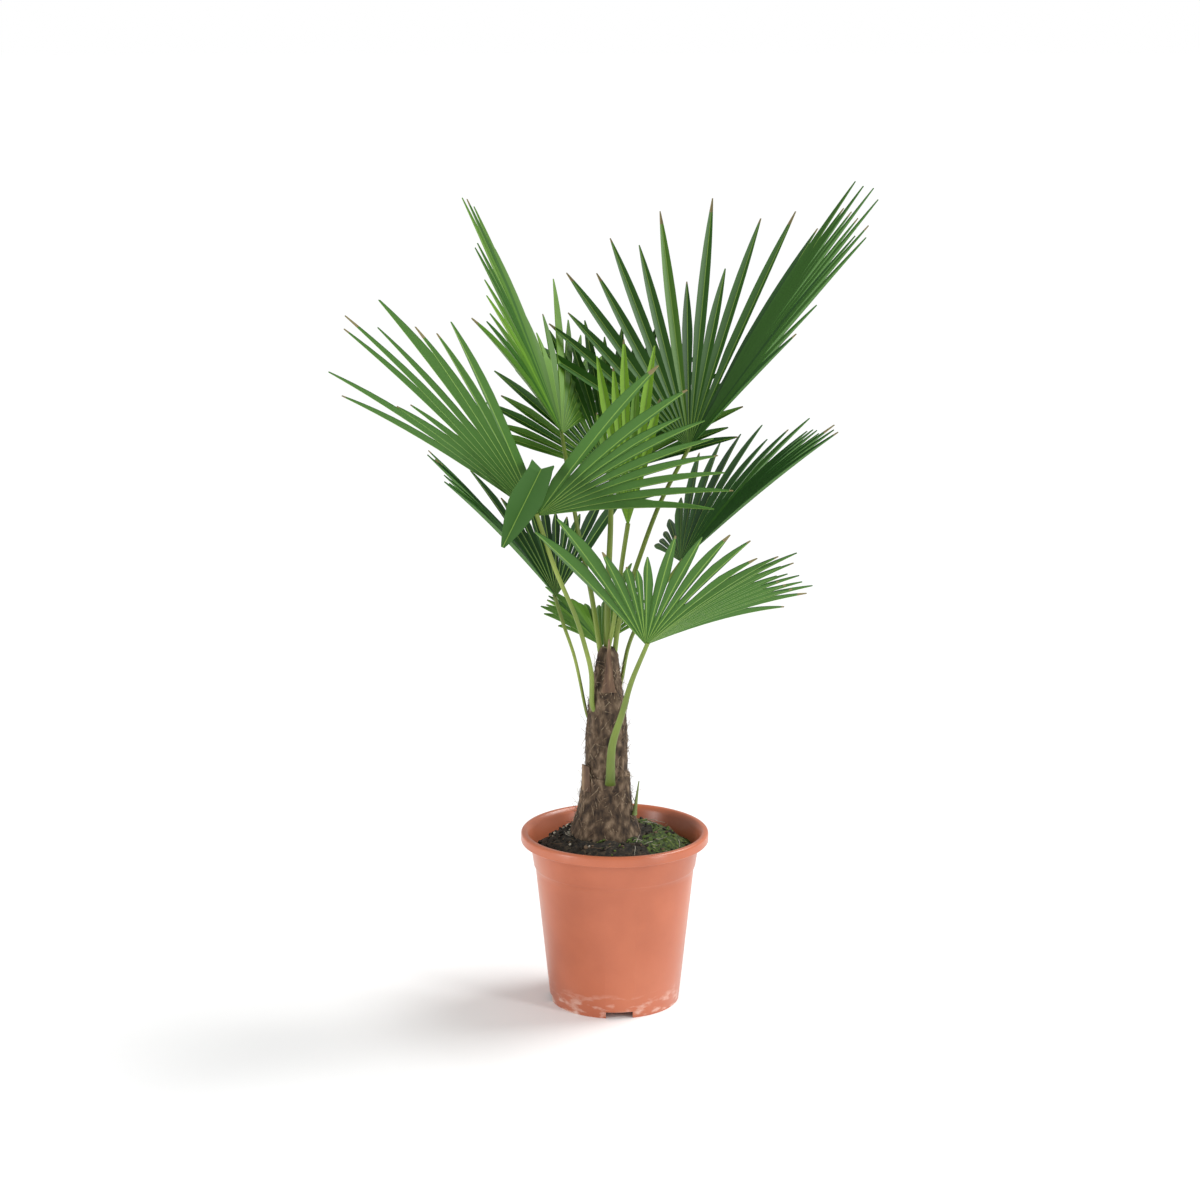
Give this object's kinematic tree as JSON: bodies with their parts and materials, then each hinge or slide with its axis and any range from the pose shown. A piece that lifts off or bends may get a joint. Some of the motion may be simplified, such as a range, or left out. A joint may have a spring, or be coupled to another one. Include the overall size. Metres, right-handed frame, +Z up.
{
  "type": "potted fan palm",
  "caption": "Young fan palm with a fibrous leaning trunk, slender leaf stalks and pleated fan fronds, standing in a tapered round plastic pot filled with compost.",
  "frame": {"origin": "centre of the flat pad under the pot, on the surface that the pot stands on", "axes": "+Z up the plant, -Y towards the side that the picture shows, +X to the right in it"},
  "size_m": [0.5972, 0.5496, 0.9046],
  "materials": {
    "pot": "satin",
    "soil": "matte",
    "bark": "matte",
    "dry": "matte",
    "stalk": "satin",
    "leaf": "satin"
  },
  "bodies": {
    "root": {"pot": "pot", "soil": "soil", "trunk": "bark", "cut_leaf_base": "dry", "top_sheath": "dry", "side_sprout": "stalk", "stalk_front_left": "stalk", "stalk_upper_right": "stalk", "stalk_low_right": "stalk", "stalk_upper_left": "stalk", "stalk_mid_right": "stalk", "stalk_low_left": "stalk", "stalk_new_centre": "stalk", "stalk_small_back": "stalk", "stalk_back": "stalk", "frond_front_left": "leaf", "frond_upper_right": "leaf", "frond_low_right": "leaf", "frond_upper_left": "leaf", "frond_mid_right": "leaf", "frond_low_left": "leaf", "frond_new_centre": "leaf", "frond_small_back": "leaf", "frond_back": "leaf"}
  },
  "joints": []
}
